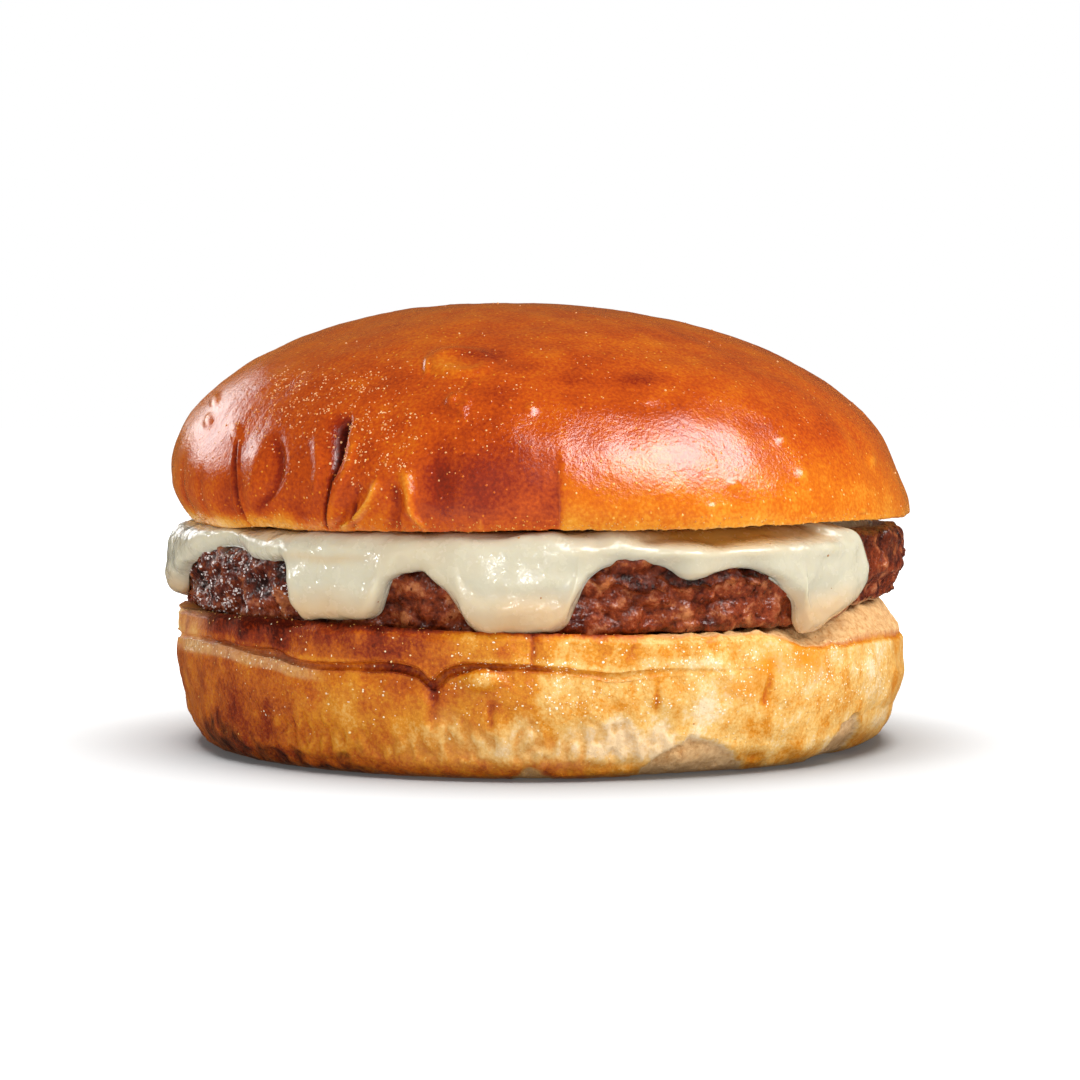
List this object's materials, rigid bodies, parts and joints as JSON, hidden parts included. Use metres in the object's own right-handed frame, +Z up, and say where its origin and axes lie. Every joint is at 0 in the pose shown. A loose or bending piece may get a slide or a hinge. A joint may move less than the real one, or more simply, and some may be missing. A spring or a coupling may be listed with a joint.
{
  "type": "cheeseburger",
  "caption": "Round cheeseburger: a tall glazed crown, a melted slice of white cheese hanging in drips, a seared ground beef patty and a golden heel that it stands on.",
  "frame": {"origin": "middle of the burger's box, at the surface that it stands on", "axes": "+Z up through the layers, +X to the right seen from the front, where the cheese's deepest drips hang; the front looks along -Y"},
  "size_m": [0.1046, 0.1038, 0.0616],
  "materials": {
    "glazed_crust": "egg-glazed bun crust, glossy, orange-brown and darker in its folds",
    "melted_cheese": "melted white cheese, creamy, smooth and glossy",
    "seared_beef": "seared ground beef, rough, dark brown and wet with fat",
    "golden_crust": "baked bun base, golden with a darker upper lip and pale crumb, satin"
  },
  "bodies": {
    "root": {"crown": "glazed_crust", "cheese": "melted_cheese", "patty": "seared_beef", "heel": "golden_crust"}
  },
  "joints": []
}
